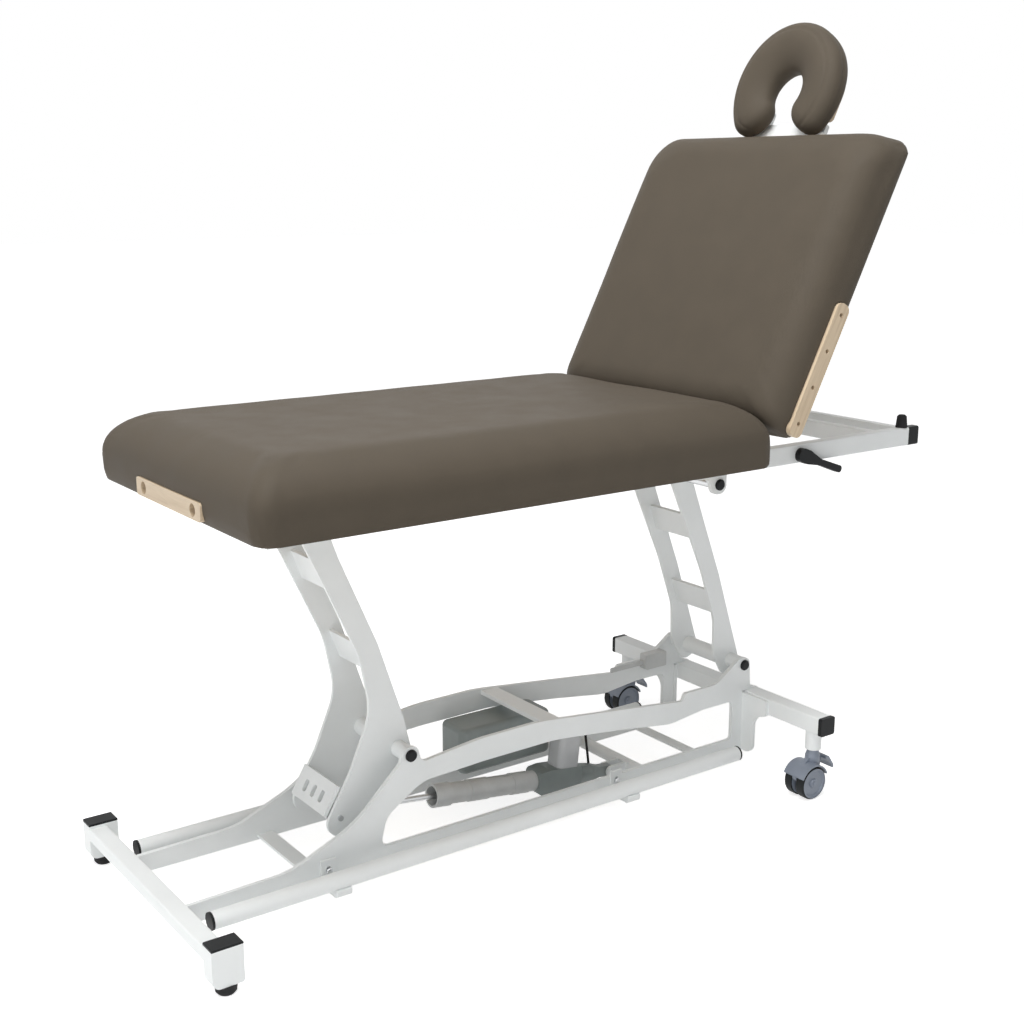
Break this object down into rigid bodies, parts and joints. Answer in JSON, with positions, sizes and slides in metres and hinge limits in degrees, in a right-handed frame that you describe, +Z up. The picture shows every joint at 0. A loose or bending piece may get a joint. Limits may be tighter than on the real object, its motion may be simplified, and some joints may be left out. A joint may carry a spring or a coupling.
{
  "type": "electric massage table",
  "caption": "Padded treatment table with a tilting back and open face rest on a motor-driven parallelogram lift, with foot control bars, brake casters and rubber feet.",
  "frame": {"origin": "on the floor under the middle of the table's length and width", "axes": "+X towards the head end, +Y across the table, +Z up"},
  "size_m": [2.018, 0.77, 1.7915],
  "materials": {
    "frame_white": "satin",
    "upholstery": "matte",
    "plywood": "satin",
    "deck": "matte",
    "black_plastic": "matte",
    "rubber": "matte",
    "cable": "matte",
    "steel": "satin",
    "dark_grey": "satin",
    "grey": "satin",
    "spring_black": "satin",
    "caster_wheel": "satin",
    "caster_body": "satin"
  },
  "bodies": {
    "base": {"base_plate_near": "frame_white", "base_plate_far": "frame_white", "foot_crossbar": "frame_white", "head_crossbar": "frame_white", "head_gussets": "frame_white", "foot_posts": "frame_white", "rubber_feet": "rubber", "base_crossbars": "frame_white", "lower_shafts": "steel", "base_caps": "black_plastic", "pivot_spacers": "frame_white", "control_box": "dark_grey", "mains_inlet": "black_plastic", "limit_switch": "grey", "actuator_anchor": "frame_white", "caster_sockets": "frame_white", "shoulder_bolts": "steel"},
    "bar_near": {"control_bar_near": "frame_white", "bar_caps_near": "black_plastic"},
    "bar_far": {"control_bar_far": "frame_white", "bar_caps_far": "black_plastic"},
    "foot_link": {"foot_link_plates": "frame_white", "foot_link_rungs": "frame_white", "crank_pin": "steel"},
    "head_link": {"head_link_plates": "frame_white", "head_link_rungs": "frame_white"},
    "actuator": {"actuator_tube": "grey", "gear_housing": "dark_grey", "motor_housing": "grey", "actuator_rear": "dark_grey", "actuator_cable": "cable"},
    "actuator_ram": {"actuator_rod": "steel"},
    "upper_frame": {"frame_rails": "frame_white", "back_bumpers": "rubber", "frame_crossbars": "frame_white", "pivot_lugs": "frame_white", "upper_shafts": "steel", "frame_caps": "black_plastic", "frame_brackets": "frame_white", "leg_deck": "deck", "leg_cushion": "upholstery", "foot_outlet_plate": "plywood"},
    "lever": {"release_lever": "black_plastic"},
    "back_section": {"back_deck": "deck", "back_outlet_strips": "plywood", "back_cushion": "upholstery", "back_brackets": "frame_white"},
    "spring_cylinder": {"gas_spring_cylinder": "spring_black"},
    "spring_ram": {"gas_spring_rod": "steel"},
    "face_support": {"face_frame": "frame_white"},
    "face_rest": {"face_cradle": "plywood", "face_cushion": "upholstery"},
    "caster_near": {"caster_yoke_near": "caster_body"},
    "pedal_near": {"caster_pedal_near": "caster_body"},
    "wheel_near_left": {"caster_wheel_near_left": "caster_wheel"},
    "wheel_near_right": {"caster_wheel_near_right": "caster_wheel"},
    "caster_far": {"caster_yoke_far": "caster_body"},
    "pedal_far": {"caster_pedal_far": "caster_body"},
    "wheel_far_left": {"caster_wheel_far_left": "caster_wheel"},
    "wheel_far_right": {"caster_wheel_far_right": "caster_wheel"}
  },
  "joints": [
    {"name": "lift", "type": "hinge", "parent": "base", "child": "foot_link", "pos_m": [-0.465, 0, 0.271], "axis": [0, 1, 0], "range_deg": [-60, 5]},
    {"name": "head_link_turn", "type": "hinge", "parent": "base", "child": "head_link", "pos_m": [0.502, 0, 0.271], "axis": [0, 1, 0], "range_deg": [-60.5, 5.5]},
    {"name": "frame_level", "type": "hinge", "parent": "foot_link", "child": "upper_frame", "pos_m": [-0.64895, 0, 0.76379], "axis": [0, 1, 0], "range_deg": [-5.5, 60.5]},
    {"name": "actuator_swing", "type": "hinge", "parent": "base", "child": "actuator", "pos_m": [0.141, 0, 0.055], "axis": [0, 1, 0], "range_deg": [-5.6, 0.6]},
    {"name": "ram_swing", "type": "hinge", "parent": "foot_link", "child": "actuator_ram", "pos_m": [-0.60785, 0, 0.15043], "axis": [0, 1, 0], "range_deg": [-5, 55.5]},
    {"name": "back_tilt", "type": "hinge", "parent": "upper_frame", "child": "back_section", "pos_m": [0.345, 0, 0.915], "axis": [0, -1, 0], "range_deg": [-62.6, 5.4]},
    {"name": "spring_swing", "type": "hinge", "parent": "upper_frame", "child": "spring_cylinder", "pos_m": [0.84, 0, 0.815], "axis": [0, -1, 0], "range_deg": [-2, 19.2]},
    {"name": "spring_ram_swing", "type": "hinge", "parent": "back_section", "child": "spring_ram", "pos_m": [0.46237, 0, 0.98932], "axis": [0, -1, 0], "range_deg": [-7.4, 82]},
    {"name": "face_reach", "type": "slide", "parent": "back_section", "child": "face_support", "axis": [0.4602, 0, 0.8878], "range_m": [0, 0.1]},
    {"name": "face_tilt", "type": "hinge", "parent": "face_support", "child": "face_rest", "pos_m": [0.74308, 0, 1.59172], "axis": [0, -1, 0], "range_deg": [-40, 0]},
    {"name": "release_pull", "type": "hinge", "parent": "upper_frame", "child": "lever", "pos_m": [0.577, 0, 0.804], "axis": [0, -1, 0], "range_deg": [0, 25], "stiffness_Nm_per_rad": 4, "springref_deg": -14.32},
    {"name": "bar_press_near", "type": "slide", "parent": "base", "child": "bar_near", "axis": [0, 0, 1], "range_m": [-0.005, 0.005], "stiffness_N_per_m": 20000, "springref_m": 0.0015},
    {"name": "bar_press_far", "type": "slide", "parent": "base", "child": "bar_far", "axis": [0, 0, 1], "range_m": [-0.005, 0.005], "stiffness_N_per_m": 20000, "springref_m": 0.0015},
    {"name": "caster_swivel_near", "type": "hinge", "parent": "base", "child": "caster_near", "pos_m": [0.531, -0.34, 0], "axis": [0, 0, 1], "continuous": true},
    {"name": "brake_near", "type": "hinge", "parent": "caster_near", "child": "pedal_near", "pos_m": [0.5595, -0.34, 0.09], "axis": [0, -1, 0], "range_deg": [0, 16]},
    {"name": "wheel_spin_near_left", "type": "hinge", "parent": "caster_near", "child": "wheel_near_left", "pos_m": [0.509, -0.34, 0.04], "axis": [0, -1, 0], "continuous": true},
    {"name": "wheel_spin_near_right", "type": "hinge", "parent": "caster_near", "child": "wheel_near_right", "pos_m": [0.509, -0.34, 0.04], "axis": [0, -1, 0], "continuous": true},
    {"name": "caster_swivel_far", "type": "hinge", "parent": "base", "child": "caster_far", "pos_m": [0.531, 0.34, 0], "axis": [0, 0, 1], "continuous": true},
    {"name": "brake_far", "type": "hinge", "parent": "caster_far", "child": "pedal_far", "pos_m": [0.5595, 0.34, 0.09], "axis": [0, -1, 0], "range_deg": [0, 16]},
    {"name": "wheel_spin_far_left", "type": "hinge", "parent": "caster_far", "child": "wheel_far_left", "pos_m": [0.509, 0.34, 0.04], "axis": [0, -1, 0], "continuous": true},
    {"name": "wheel_spin_far_right", "type": "hinge", "parent": "caster_far", "child": "wheel_far_right", "pos_m": [0.509, 0.34, 0.04], "axis": [0, -1, 0], "continuous": true}
  ],
  "couplings": [
    {"joint": "head_link_turn", "follows": "lift", "ratio": 1},
    {"joint": "frame_level", "follows": "lift", "ratio": -1},
    {"joint": "actuator_swing", "follows": "lift", "ratio": 0.088},
    {"joint": "ram_swing", "follows": "lift", "ratio": -0.912},
    {"joint": "spring_swing", "follows": "back_tilt", "ratio": -0.3},
    {"joint": "spring_ram_swing", "follows": "back_tilt", "ratio": -1.3}
  ]
}
